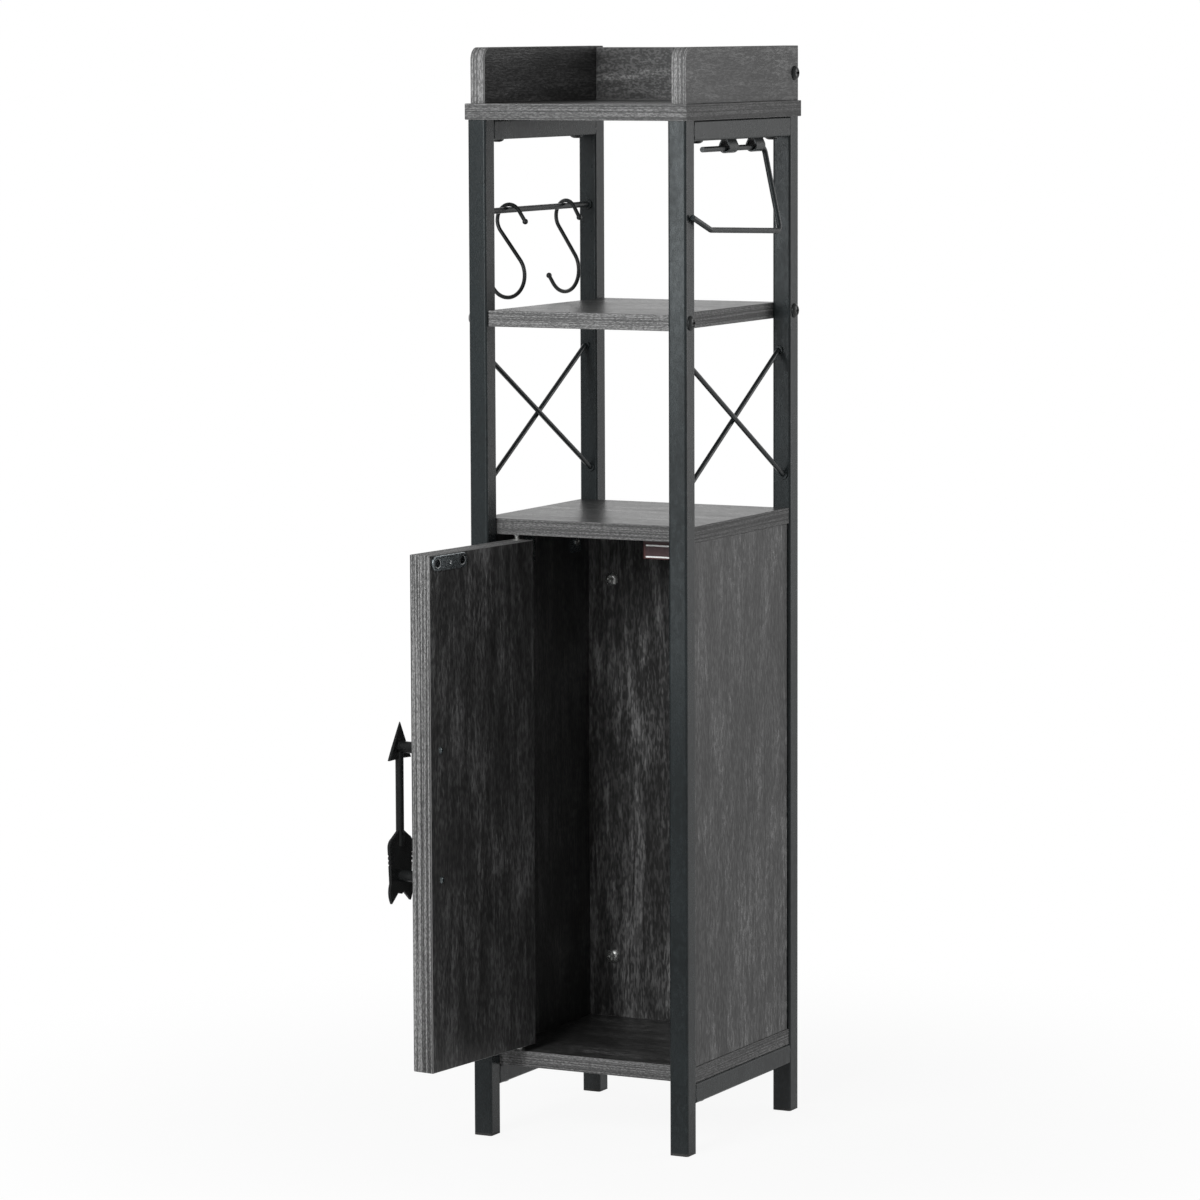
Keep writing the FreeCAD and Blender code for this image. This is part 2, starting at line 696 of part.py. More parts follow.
# Door pivot pins, one in the cabinet top and one in the bottom board.
pin_hole = pin_diameter + pin_board_slack * 2.0
top_pin = joined([rod(pin_diameter, pin_in_board + door_gap + pin_in_door,
                      V(pin_x, pin_y, door_z1 - pin_in_door), AZ),
                  rod(pin_collar_diameter, pin_collar_thin,
                      V(pin_x, pin_y, cabinet_top_z - pin_collar_thin), AZ)])
low_pin = joined([rod(pin_diameter, pin_in_board + door_gap + pin_in_door,
                      V(pin_x, pin_y, cabinet_floor_z - pin_in_board), AZ),
                  rod(pin_collar_diameter, door_gap, V(pin_x, pin_y, cabinet_floor_z), AZ)])
save("door_pivot_pins", [top_pin, low_pin])
cover = cover.cut(rod(pin_hole, pin_in_board + hole_end_gap, V(pin_x, pin_y, cabinet_top_z), AZ))
bottom_board = bottom_board.cut(rod(pin_hole, pin_in_board + hole_end_gap,
                                    V(pin_x, pin_y, cabinet_floor_z), -AZ))

# Magnetic catch under the cabinet top: body, two pole plates, magnet and screws.
pole_x0 = catch_mid_x - catch_pole_length / 2.0
pole_x1 = pole_x0 + catch_pole_length
pole_y0 = catch_y0 - catch_pole_proud
pole_y1 = catch_y0 + catch_pole_depth
low_pole_z = catch_z0 + catch_floor
magnet_z = low_pole_z + catch_pole_thick
high_pole_z = magnet_z + catch_magnet_height
pocket_top = high_pole_z + catch_pole_thick
body = rounded_bar(catch_x0, catch_x1, catch_y0, catch_y0 + catch_depth, catch_z0, cabinet_top_z,
                   catch_corner, AZ)
body = body.cut(box(pole_x0, pole_x1, catch_y0 - catch_depth, pole_y1, low_pole_z, pocket_top))
catch_screw = headed(small_head, small_head_height, screw_shank, catch_height + board_screw_bite, True)
catch_screws = []
for sx in SIDES:
    at = V(catch_mid_x + sx * catch_screw_pitch / 2.0, catch_screw_y, catch_z0)
    body = body.cut(rod(screw_hole, catch_height, at, AZ))
    catch_screws.append(placed(catch_screw, -AZ, at))
    cover = cover.cut(rod(screw_hole, board_screw_bite + hole_end_gap, V(at.x, at.y, cabinet_top_z), AZ))
poles = [box(pole_x0, pole_x1, pole_y0, pole_y1, low_pole_z, magnet_z),
         box(pole_x0, pole_x1, pole_y0, pole_y1, high_pole_z, pocket_top)]
save("catch_body", [body])
save("catch_pole_plates", poles)
save("catch_magnet", [box(pole_x0, pole_x1, catch_y0, pole_y1, magnet_z, high_pole_z)])
save("catch_screws", catch_screws)
save("cabinet_top_board", [cover])
save("bottom_board", [bottom_board])

# Door parts, drawn in the closed position and swung open together at the end.
hinge = V(pin_x, pin_y, ZERO)


def swung(shape):
    copy = shape.copy()
    copy.rotate(hinge, AZ, -door_open_deg)
    return copy


leaf = eased_board(-door_half, door_half, door_y0, door_y1, door_z0, door_z1, door_edge_ease)
bush_hole = bush_diameter + bush_slack * 2.0
bush_bore = pin_diameter + pin_fit * 2.0
bushes = []
for end_z, up in ((door_z0, AZ), (door_z1, -AZ)):
    at = V(pin_x, pin_y, end_z)
    leaf = leaf.cut(rod(bush_hole, bush_length, at, up))
    sleeve = rod(bush_diameter, bush_length, at, up)
    bushes.append(sleeve.cut(rod(bush_bore, bush_length, at, up)))

# Arrow pull: head, shaft, feathered tail and two round stand-offs.
# Each outline is drawn as its right half, closed on the shaft's middle line, and mirrored.
pull_mid_y = door_y0 - pull_reach
pull_y0 = pull_mid_y - pull_thick / 2.0
pull_y1 = pull_mid_y + pull_thick / 2.0
pull_middle = V(pull_x, pull_mid_y, ZERO)


def pull_point(x, z):
    return V(pull_x + x, pull_y0, z)


def mirrored_plate(edges):
    half = Part.Face(Part.Wire(edges)).extrude(AY * pull_thick)
    return joined([half, half.mirror(pull_middle, AX)])


def eased_plate(plate):
    face_edges = [e for e in plate.Edges if abs(e.tangentAt(e.FirstParameter).y) < ACROSS_SHARE]
    return plate.makeChamfer(pull_edge_ease, face_edges)


def path_edges(points):
    return [Part.makeLine(a, b) for a, b in zip(points, points[1:])]


# The head is thickest across its barbs and thins toward the tip.
head_top = pull_point(ZERO, pull_high_z + arrow_tip_above)
head_root = pull_point(ZERO, pull_high_z - arrow_root_below)
head_barb = pull_point(arrow_half_width, pull_high_z - arrow_barb_below)
head_blank = mirrored_plate(path_edges([head_root, head_barb, head_top, head_root]))
slope = [V(pull_x - arrow_half_width, pull_y0, head_barb.z),
         V(pull_x - arrow_half_width, pull_y0, head_top.z),
         V(pull_x - arrow_half_width, pull_y1 - arrow_tip_thick, head_top.z)]
shaved = Part.Face(Part.makePolygon(slope + slope[:1])).extrude(AX * arrow_half_width * 2.0)
head = eased_plate(head_blank).cut(shaved)

# The feathers: straight shoulders bent round into notched sides, a waist and two tail vanes.
feather_top = pull_point(ZERO, pull_low_z + fletch_top_above)
bend = pull_point(fletch_bend_half, pull_low_z + fletch_bend_above)
bulge = pull_point(fletch_bulge_half, pull_low_z + fletch_bulge_above)
side_top = pull_point(fletch_half_width, pull_low_z + fletch_side_above)
waist = pull_point(fletch_waist_half, pull_low_z - fletch_waist_below)
belly = pull_point(fletch_belly_half, pull_low_z - fletch_belly_below)
vane_tip = pull_point(fletch_tail_half, pull_low_z - fletch_tail_below)
cleft = pull_point(fletch_cleft_half, pull_low_z - fletch_cleft_below)
cleft_mid = pull_point(ZERO, pull_low_z - fletch_cleft_below)
side_run = waist - side_top
side_points = [side_top]
for i in range(fletch_notches):
    level = fletch_notch_first - fletch_notch_pitch * i
    for step, deep in ((fletch_notch_half, ZERO), (ZERO, fletch_notch_depth), (-fletch_notch_half, ZERO)):
        share = (fletch_side_above - level - step) / (fletch_side_above + fletch_waist_below)
        side_points.append(side_top + side_run * share - AX * deep)
side_points.append(waist)
feather_edges = path_edges([feather_top, pull_point(pull_shaft / 2.0, feather_top.z), bend])
feather_edges.append(Part.Arc(bend, bulge, side_top).toShape())
feather_edges += path_edges(side_points)
feather_edges.append(Part.Arc(waist, belly, vane_tip).toShape())
feather_edges += path_edges([vane_tip, cleft, cleft_mid, feather_top])
feathers = eased_plate(mirrored_plate(feather_edges))
nock = rod(nock_radius * 2.0, pull_thick, pull_point(ZERO, pull_low_z - nock_below), AY)

shaft_z0 = pull_low_z + fletch_side_above
shaft_z1 = pull_high_z
shaft = rod(pull_shaft, shaft_z1 - shaft_z0, V(pull_x, pull_mid_y, shaft_z0), AZ)
pull_shapes = [head, feathers, nock, shaft]
pull_screw = headed(small_head, small_head_height, screw_shank, door_thick + pull_screw_bite, True)
pull_screws = []
for z in (pull_low_z, pull_high_z):
    pull_shapes.append(rod(pull_post_diameter, door_y0 - pull_mid_y, V(pull_x, pull_mid_y, z), AY))
    pull_screws.append(placed(pull_screw, AY, V(pull_x, door_y1, z)))
    leaf = leaf.cut(rod(screw_hole, door_thick, V(pull_x, door_y0, z), AY))
pull = joined(pull_shapes)
for z in (pull_low_z, pull_high_z):
    pull = pull.cut(rod(screw_hole, pull_screw_bite + hole_end_gap, V(pull_x, door_y0, z), -AY))

# Strike plate with sunk screw seats.
half_h = strike_height / 2.0
strike = rounded_bar(strike_x - strike_length / 2.0, strike_x + strike_length / 2.0,
                     door_y1, strike_face_y, strike_z - half_h, strike_z + half_h,
                     strike_end_radius, AY)
front_rim = [e for e in strike.Edges if e.CenterOfMass.y > strike_face_y - strike_edge_round]
strike = strike.makeFillet(strike_edge_round, front_rim)
dimple_y = strike_face_y - strike_dimple_depth
strike = strike.cut(rod(strike_dimple_diameter, strike_thick, V(strike_x, dimple_y, strike_z), AY))
strike_screw = rod(screw_head, strike_sink_depth, V(), AZ).fuse(
    rod(screw_shank, strike_thick - strike_sink_depth + board_screw_bite,
        V(0, 0, strike_sink_depth - strike_thick - board_screw_bite), AZ))
recess = screw_head * recess_length_share / 2.0
slot = screw_head * recess_width_share / 2.0
recess_z = strike_sink_depth * recess_depth_share
strike_screw = strike_screw.cut(box(-recess, recess, -slot, slot, recess_z, strike_thick))
strike_screw = strike_screw.cut(box(-slot, slot, -recess, recess, recess_z, strike_thick))
strike_screws = []
sink_y = strike_face_y - strike_sink_depth
for sx in SIDES:
    at = V(strike_x + sx * strike_hole_pitch / 2.0, sink_y, strike_z)
    strike = strike.cut(rod(screw_head + strike_seat_slack * 2.0, strike_thick, at, AY))
    strike = strike.cut(rod(screw_hole, strike_thick * 2.0, at - AY * strike_thick, AY))
    strike_screws.append(placed(strike_screw, AY, at))
    leaf = leaf.cut(rod(screw_hole, board_screw_bite + hole_end_gap, V(at.x, door_y1, at.z), -AY))

save("door_panel", [swung(leaf)])
save("door_bushes", [swung(s) for s in bushes])
save("door_pull", [swung(pull)])
save("door_pull_screws", [swung(s) for s in pull_screws])
save("strike_plate", [swung(strike)])
save("strike_plate_screws", [swung(s) for s in strike_screws])
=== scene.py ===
import math

import bmesh
import bpy
from mathutils import Matrix, Vector


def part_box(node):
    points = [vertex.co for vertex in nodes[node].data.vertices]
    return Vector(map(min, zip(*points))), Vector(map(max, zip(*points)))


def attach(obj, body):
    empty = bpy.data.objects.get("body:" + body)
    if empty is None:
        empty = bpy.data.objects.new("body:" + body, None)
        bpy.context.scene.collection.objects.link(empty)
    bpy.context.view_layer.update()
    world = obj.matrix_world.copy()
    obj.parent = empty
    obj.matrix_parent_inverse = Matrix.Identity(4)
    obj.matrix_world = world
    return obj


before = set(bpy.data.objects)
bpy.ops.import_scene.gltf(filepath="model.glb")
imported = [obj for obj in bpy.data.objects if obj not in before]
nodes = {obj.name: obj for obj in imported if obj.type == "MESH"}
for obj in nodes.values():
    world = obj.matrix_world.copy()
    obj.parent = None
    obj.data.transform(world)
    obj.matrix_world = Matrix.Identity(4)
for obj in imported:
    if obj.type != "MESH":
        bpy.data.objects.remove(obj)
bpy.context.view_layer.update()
scene = bpy.context.scene
scene.view_settings.view_transform = "Standard"

WHITE = (1.0, 1.0, 1.0, 1.0)

# Camera: a square image, focal length in its pixels, place in metres.
IMAGE_PX = 1200.0
FOCAL_PX = 5157.307
SENSOR_MM = 36.0
CLIP_NEAR = 0.1
CLIP_FAR = 100.0
CAMERA_AT = Vector((2.317208, -4.626042, 1.119507))
CAMERA_AZIMUTH = math.radians(27.014)
CAMERA_TILT = math.radians(6.441)
CAMERA_ROLL = math.radians(-0.224)


def make_camera():
    forward = Vector((-math.sin(CAMERA_AZIMUTH) * math.cos(CAMERA_TILT),
                      math.cos(CAMERA_AZIMUTH) * math.cos(CAMERA_TILT),
                      -math.sin(CAMERA_TILT)))
    flat_right = Vector((math.cos(CAMERA_AZIMUTH), math.sin(CAMERA_AZIMUTH), 0.0))
    flat_up = flat_right.cross(forward)
    right = flat_right * math.cos(CAMERA_ROLL) + flat_up * math.sin(CAMERA_ROLL)
    up = flat_up * math.cos(CAMERA_ROLL) - flat_right * math.sin(CAMERA_ROLL)
    data = bpy.data.cameras.new("camera")
    data.sensor_fit = "HORIZONTAL"
    data.sensor_width = SENSOR_MM
    data.lens = SENSOR_MM * FOCAL_PX / IMAGE_PX
    data.clip_start = CLIP_NEAR
    data.clip_end = CLIP_FAR
    camera = bpy.data.objects.new("camera", data)
    scene.collection.objects.link(camera)
    turn = Matrix((right, up, -forward)).transposed().to_4x4()
    camera.matrix_world = Matrix.Translation(CAMERA_AT) @ turn
    scene.camera = camera


# Places of the Mix node's two values and two colours, which share their names.
MIX_VALUES = (2, 3)
MIX_COLOURS = (6, 7)


class Tree:
    """A short way to write shader nodes: an input is a number, a colour, or another node's output."""

    def __init__(self, tree):
        self.tree = tree
        tree.nodes.clear()

    def add(self, kind, ins=None, **settings):
        made = self.tree.nodes.new(kind)
        for key, value in settings.items():
            setattr(made, key, value)
        for key, value in (ins or {}).items():
            if isinstance(value, bpy.types.NodeSocket):
                self.tree.links.new(value, made.inputs[key])
            else:
                made.inputs[key].default_value = value
        return made

    def math(self, op, a, b=0.0):
        return self.add("ShaderNodeMath", {0: a, 1: b}, operation=op).outputs[0]

    def weigh(self, *shares):
        """The sum of (value, weight) pairs."""
        parts = [self.math("MULTIPLY", value, weight) for value, weight in shares]
        total = parts[0]
        for part in parts[1:]:
            total = self.math("ADD", total, part)
        return total

    def mix(self, share, a, b):
        ins = {0: share, MIX_COLOURS[0]: a, MIX_COLOURS[1]: b}
        return self.add("ShaderNodeMix", ins, data_type="RGBA").outputs[2]

    def blend(self, share, a, b):
        ins = {0: share, MIX_VALUES[0]: a, MIX_VALUES[1]: b}
        return self.add("ShaderNodeMix", ins, data_type="FLOAT").outputs[0]

    def spot(self):
        """The place on the object at rest, in metres."""
        return self.add("ShaderNodeTexCoord").outputs["Object"]

    def split(self, vector):
        return self.add("ShaderNodeSeparateXYZ", {0: vector}).outputs

    def turned(self, vector, angle):
        ins = {"Vector": vector, "Angle": angle}
        return self.add("ShaderNodeVectorRotate", ins, rotation_type="Z_AXIS").outputs[0]

    def noise(self, vector, pitch, detail=2.0, rough=0.6, warp=0.0):
        """Noise with pitch cells per metre along each axis of vector."""
        cells = self.add("ShaderNodeVectorMath", {0: vector, 1: pitch}, operation="MULTIPLY").outputs[0]
        made = self.add("ShaderNodeTexNoise", {"Vector": cells, "Scale": 1.0, "Detail": detail,
                                               "Roughness": rough, "Distortion": warp})
        return made.outputs[0]

    def step(self, value, low, high):
        """A soft step from 0 at low to 1 at high."""
        made = self.add("ShaderNodeMapRange", {0: value, 1: low, 2: high, 3: 0.0, 4: 1.0},
                        interpolation_type="SMOOTHSTEP")
        return made.outputs[0]

    def layer(self, vector, low, high, **noise):
        return self.step(self.noise(vector, **noise), low, high)

    def ramp(self, value, stops):
        made = self.add("ShaderNodeValToRGB", {0: value})
        band = made.color_ramp.elements
        while len(band) < len(stops):
            band.new(1.0)
        for element, (place, colour) in zip(band, stops):
            element.position = place
            element.color = colour
        return made.outputs[0]

    def bump(self, height, strength, distance, normal=None):
        ins = {"Strength": strength, "Distance": distance, "Height": height}
        if normal is not None:
            ins["Normal"] = normal
        return self.add("ShaderNodeBump", ins).outputs[0]

    def surface(self, ins):
        shader = self.add("ShaderNodeBsdfPrincipled", ins)
        self.add("ShaderNodeOutputMaterial", {0: shader.outputs[0]})


def new_material(name):
    material = bpy.data.materials.new(name)
    material.use_nodes = True
    return material, Tree(material.node_tree)


def rgba(colour, gain):
    return (*[min(1.0, c * gain) for c in colour], 1.0)


def grey(level):
    return (level, level, level, 1.0)


# Boards: how squarely a surface looks along the thickness tells faces, eased corners and edges apart. The
# eased corners get a pale grey, a painted highlight along the board's edges.
AXES = {"X": 0, "Y": 1, "Z": 2}
FACE_FROM, FACE_FULL = 0.90, 0.97
CORNER_FROM, CORNER_FULL = 0.25, 0.45
CORNER_HIGHLIGHT_LEVEL = 0.20
SEED_ALONG_GRAIN = 3.1

# Noise layers of the boards: cells per metre across the grain, through the board and along the grain, and
# the noise levels between which a layer rises from 0 to 1. Each board sets how long its grains are.
CLOUDS = dict(pitch=(13.0, 3.0, 4.5), detail=3.0, rough=0.55, warp=0.8, low=0.30, high=0.70)
PATCHES = dict(pitch=(40.0, 8.0, 11.0), detail=6.0, rough=0.70, warp=0.6, low=0.38, high=0.66)
STREAKS = dict(pitch=(300.0, 20.0, 16.0), detail=3.0, warp=0.2, low=0.38, high=0.63)
GRAINS = dict(detail=1.0, rough=0.5, low=0.41, high=0.61)
GRAINS_ACROSS, GRAINS_THROUGH = 560.0, 40.0
VEINS = dict(pitch=(40.0, 6.0, 5.5), detail=5.0, rough=0.62, warp=1.0, low=0.44, high=0.61)
CRACKS = dict(pitch=(300.0, 30.0, 34.0), warp=0.5, low=0.60, high=0.68)
LINES = dict(pitch=(3.0, 760.0, 3.0), detail=0.0, rough=0.5, warp=0.1, low=0.42, high=0.58)
HAIRS = dict(pitch=(300.0, 1100.0, 300.0), low=0.42, high=0.58)
BAND_DRIFT = dict(pitch=(6.0, 90.0, 6.0), rough=0.5, low=0.34, high=0.66)

# Facing: weights of its layers, and its grey levels by the sum of them.
CLOUD_WEIGHT = 0.16
PATCH_WEIGHT, PATCH_BY_MOTTLE = 0.06, 0.24
GRAIN_WEIGHT = 0.10
FINE_ON_PLAIN, FINE_ON_PATCH = 0.80, 1.15
CRACK_WEIGHT, CRACK_BY_MOTTLE = 0.20, 0.50
CRACK_LEVEL = 0.016
FACE_LEVELS = ((0.05, 0.019), (0.35, 0.045), (0.60, 0.090), (0.95, 0.24))
FACE_ROUGH_DARK, FACE_ROUGH_PALE = 0.36, 0.24

# Edge band: the weight of its drift, its two middle grey levels, and where on the ramp all four lie.
DRIFT_WEIGHT = 0.07
BAND_MIDDLE = (0.102, 0.138)
BAND_PLACES = (0.05, 0.40, 0.62, 0.97)
BAND_ROUGH = 0.62
BOARD_BUMP = 0.30
BOARD_RELIEF = 0.0005


def board_material(name, thick, grain, turn=0.0, seed=0.0, mottle=0.3, grit=0.22, flow=0.12, streak=0.18,
                   grain_pitch=130.0, face_painted_light=1.0, band_tone_and_painted_light=1.0, band_lines=0.45,
                   band_range=(0.063, 0.26)):
    """Charcoal wood-grain facing with paler edge bands.

    thick and grain name the board's own axes, and turn brings a board that stands open back onto them.
    mottle, grit, flow and streak weigh the worn patches, short grains, veins and long streaks.
    """
    material, t = new_material(name)
    place = t.add("ShaderNodeTexCoord")
    spot, facing = place.outputs["Object"], place.outputs["Normal"]
    if turn:
        spot, facing = t.turned(spot, turn), t.turned(facing, turn)
    xyz = t.split(spot)
    across = (set(AXES) - {thick, grain}).pop()
    board = t.add("ShaderNodeCombineXYZ", {
        0: t.math("ADD", xyz[AXES[across]], seed),
        1: xyz[AXES[thick]],
        2: t.math("ADD", xyz[AXES[grain]], seed * SEED_ALONG_GRAIN)}).outputs[0]
    square = t.math("ABSOLUTE", t.split(facing)[AXES[thick]])
    is_face = t.step(square, FACE_FROM, FACE_FULL)
    is_turned = t.step(square, CORNER_FROM, CORNER_FULL)
    is_corner = t.math("MULTIPLY", is_turned, t.math("SUBTRACT", 1.0, is_face))

    # Facing: broad clouds, worn patches, veins, streaks, short grains and dark cracks.
    patches = t.layer(board, **PATCHES)
    grains = t.layer(board, pitch=(GRAINS_ACROSS, GRAINS_THROUGH, grain_pitch), **GRAINS)
    pale = t.weigh((t.layer(board, **CLOUDS), CLOUD_WEIGHT),
                   (patches, PATCH_WEIGHT + PATCH_BY_MOTTLE * mottle),
                   (t.layer(board, **VEINS), flow))
    fine = t.weigh((t.layer(board, **STREAKS), streak), (grains, GRAIN_WEIGHT + grit))
    fine_share = t.blend(patches, FINE_ON_PLAIN, FINE_ON_PATCH)
    worn = t.math("ADD", pale, t.math("MULTIPLY", fine, fine_share))
    # face_painted_light pales the whole facing: painted light for a board that sits in shade.
    face = t.ramp(worn, [(at, grey(level * face_painted_light)) for at, level in FACE_LEVELS])
    cracked = t.math("MULTIPLY", t.layer(board, **CRACKS), CRACK_WEIGHT + CRACK_BY_MOTTLE * mottle)
    face = t.mix(cracked, face, grey(CRACK_LEVEL))

    # Edge band: long lines parallel to the faces, broken into short fibres.
    band = t.weigh((t.layer(board, **LINES), band_lines),
                   (t.layer(board, **HAIRS), 1.0 - DRIFT_WEIGHT - band_lines),
                   (t.layer(board, **BAND_DRIFT), DRIFT_WEIGHT))
    band_levels = (band_range[0], *BAND_MIDDLE, band_range[1])
    # band_tone_and_painted_light makes each board's edge band paler or darker. It is partly the band's own
    # tone and partly painted light that evens out how brightly each edge is lit.
    edge = t.ramp(band, [(at, grey(level * band_tone_and_painted_light)) for at, level in zip(BAND_PLACES, band_levels)])

    # The eased corners are coloured pale grey as a painted highlight.
    colour = t.mix(is_corner, t.mix(is_face, edge, face), grey(CORNER_HIGHLIGHT_LEVEL))
    rough = t.blend(is_face, BAND_ROUGH, t.blend(worn, FACE_ROUGH_DARK, FACE_ROUGH_PALE))
    normal = t.bump(t.blend(is_face, band, fine), BOARD_BUMP, BOARD_RELIEF)
    t.surface({"Base Color": colour, "Roughness": rough, "Normal": normal})
    return material


# Noise levels between which a tone or a roughness goes from one end of its range to the other.
TONE_STEP = (0.3, 0.7)
ROUGH_STEP = (0.35, 0.65)

# Coats: tone drifts by this share either way, with paler specks and flecks of these weights and gains.
COAT_DRIFT = 0.25
SPECK_STEP, SPECK_WEIGHT, SPECK_GAIN = (0.55, 0.8), 0.35, 1.8
FLECK_STEP, FLECK_WEIGHT, FLECK_GAIN = (0.45, 0.70), 0.45, 1.9
COAT_ROUGH_DRIFT = 0.04
COAT_RELIEF = 0.0003


def coat_material(name, colour, rough, texture, bump=0.16):
    """Painted or powder-coated steel: fine orange-peel texture, flecks and faint drifts of tone."""
    material, t = new_material(name)
    spot = t.spot()
    peel = t.noise(spot, pitch=(texture, texture, texture))
    drift = t.noise(spot, pitch=(22.0, 22.0, 9.0), detail=3.0)
    flecks = t.noise(spot, pitch=(260.0, 260.0, 120.0))
    dark, pale = rgba(colour, 1.0 - COAT_DRIFT), rgba(colour, 1.0 + COAT_DRIFT)
    tone = t.mix(t.step(drift, *TONE_STEP), dark, pale)
    speck = t.math("MULTIPLY", t.step(peel, *SPECK_STEP), SPECK_WEIGHT)
    tone = t.mix(speck, tone, rgba(colour, SPECK_GAIN))
    fleck = t.math("MULTIPLY", t.step(flecks, *FLECK_STEP), FLECK_WEIGHT)
    tone = t.mix(fleck, tone, rgba(colour, FLECK_GAIN))
    worn = t.blend(t.step(drift, *ROUGH_STEP), rough + COAT_ROUGH_DRIFT, rough - COAT_ROUGH_DRIFT)
    fleck_rough = t.blend(t.step(flecks, *ROUGH_STEP), COAT_ROUGH_DRIFT, -COAT_ROUGH_DRIFT)
    worn = t.math("ADD", worn, fleck_rough)
    t.surface({"Base Color": tone, "Roughness": worn, "Normal": t.bump(peel, bump, COAT_RELIEF)})
    return material


# Plating: how far scratches change the roughness, and the colour and softened angle of a painted highlight
# along the rim.
SCRATCH_SMOOTHER, SCRATCH_ROUGHER = 0.07, 0.10
PLATE_RELIEF = 0.0002
RIM_HIGHLIGHT_COLOUR = (0.95, 0.97, 0.97, 1.0)
RIM_FROM, RIM_FULL = 0.995, 0.93
RIM_SAMPLES = 8


def plated_material(name, colour, rough, mottle, metal=1.0, bump=0.10, rim=0.0):
    """Zinc plate with a crystalline mottle and fine scratches, with a painted highlight along a rim of that
    radius.
    """
    material, t = new_material(name)
    spot = t.spot()
    cloud = t.noise(spot, pitch=(260.0, 260.0, 260.0), detail=3.0)
    scratch = t.noise(spot, pitch=(300.0, 300.0, 2600.0))
    tone = t.mix(t.step(cloud, *TONE_STEP), rgba(colour, 1.0 - mottle), rgba(colour, 1.0 + mottle))
    worn = t.blend(t.step(scratch, *TONE_STEP), rough - SCRATCH_SMOOTHER, rough + SCRATCH_ROUGHER)
    soft = None
    if rim:
        soft = t.add("ShaderNodeBevel", {"Radius": rim}, samples=RIM_SAMPLES).outputs[0]
        plain = t.add("ShaderNodeNewGeometry").outputs["True Normal"]
        square = t.add("ShaderNodeVectorMath", {0: soft, 1: plain}, operation="DOT_PRODUCT")
        # Painted highlight: the rim turns near white where the bevelled normal leans away from the face.
        tone = t.mix(t.step(square.outputs["Value"], RIM_FROM, RIM_FULL), tone, RIM_HIGHLIGHT_COLOUR)
    normal = t.bump(scratch, bump, PLATE_RELIEF, soft)
    t.surface({"Base Color": tone, "Roughness": worn, "Normal": normal, "Metallic": metal})
    return material


PLASTIC_ROUGH_DRIFT = 0.06
PLASTIC_BUMP = 0.12
PLASTIC_RELIEF = 0.0002


def plastic_material(name, colour, rough, mottle=0.12):
    """Moulded plastic with a fine spark texture."""
    material, t = new_material(name)
    spot = t.spot()
    spark = t.noise(spot, pitch=(1800.0, 1800.0, 1800.0))
    drift = t.noise(spot, pitch=(60.0, 60.0, 60.0), rough=0.5)
    tone = t.mix(drift, rgba(colour, 1.0 - mottle), rgba(colour, 1.0 + mottle))
    worn = t.blend(spark, rough - PLASTIC_ROUGH_DRIFT, rough + PLASTIC_ROUGH_DRIFT)
    normal = t.bump(spark, PLASTIC_BUMP, PLASTIC_RELIEF)
    t.surface({"Base Color": tone, "Roughness": worn, "Normal": normal})
    return material


BEECH_STOPS = ((0.35, (0.45, 0.30, 0.16, 1.0)), (0.6, (0.66, 0.48, 0.29, 1.0)))
BEECH_ROUGH = (0.5, 0.65)
BEECH_BUMP = 0.2
BEECH_RELIEF = 0.0004


def dowel_material(name):
    """Beech: pale, with fine lengthwise rays."""
    material, t = new_material(name)
    rays = t.noise(t.spot(), pitch=(900.0, 900.0, 60.0), detail=3.0)
    worn = t.blend(rays, *BEECH_ROUGH)
    normal = t.bump(rays, BEECH_BUMP, BEECH_RELIEF)
    t.surface({"Base Color": t.ramp(rays, BEECH_STOPS), "Roughness": worn, "Normal": normal})
    return material


# The finish of each piece.
steel = coat_material("powder_coat", (0.019, 0.0237, 0.0252), rough=0.29, texture=2300.0)
wire = coat_material("hook_coat", (0.020, 0.022, 0.022), rough=0.34, texture=2600.0, bump=0.08)
bolt_black = coat_material("black_bolts", (0.022, 0.024, 0.024), rough=0.30, texture=2600.0, bump=0.06)
casting = coat_material("cast_pull", (0.012, 0.013, 0.013), rough=0.25, texture=1500.0, bump=0.10)
magnet = coat_material("magnet", (0.052, 0.028, 0.030), rough=0.5, texture=1200.0)
zinc = plated_material("zinc", (0.78, 0.79, 0.77), rough=0.20, mottle=0.12, metal=0.88, bump=0.02)
# The catch's steel pole plates are coloured near white and non-metal. This is a painted reflection, so they
# show as bright as they look when they reflect the lights.
pole_plate = plated_material("pole_plate", (0.95, 0.96, 0.95), rough=0.40, mottle=0.03, metal=0.0)
dull_zinc = plated_material("dark_zinc", (0.27, 0.31, 0.32), rough=0.25, mottle=0.25)
black_zinc = plated_material("black_zinc", (0.10, 0.11, 0.12), rough=0.24, mottle=0.10, bump=0.02)
polished = plated_material("polished_plate", (0.36, 0.40, 0.42), rough=0.30, mottle=0.04, bump=0.01,
                           rim=0.0011)
feet = plastic_material("foot_plastic", (0.060, 0.060, 0.060), rough=0.55)
catch_brown = plastic_material("catch_plastic", (0.068, 0.024, 0.024), rough=0.40)
bush_white = plastic_material("bush_plastic", (0.75, 0.75, 0.72), rough=0.45, mottle=0.03)
dowel = dowel_material("dowel_wood")

finish = {
    "foot_plugs": feet,
    "catch_body": catch_brown,
    "catch_magnet": magnet,
    "catch_pole_plates": pole_plate,
    "door_bushes": bush_white,
    "door_pivot_pins": zinc,
    "door_pull": casting,
    "door_pull_screws": dull_zinc,
    "strike_plate": polished,
    "strike_plate_screws": black_zinc,
    "corner_brackets": dull_zinc,
    "back_panel_bolts": zinc,
    "shelf_bolts": bolt_black,
    "tray_bolts": bolt_black,
    "top_board_screws": bolt_black,
    "bottom_board_screws": bolt_black,
    "s_hook_front": wire,
    "s_hook_back": wire,
    "wood_dowels": dowel,
}

# The door stands open at rest, by this angle.
DOOR_OPEN = math.radians(96.4)
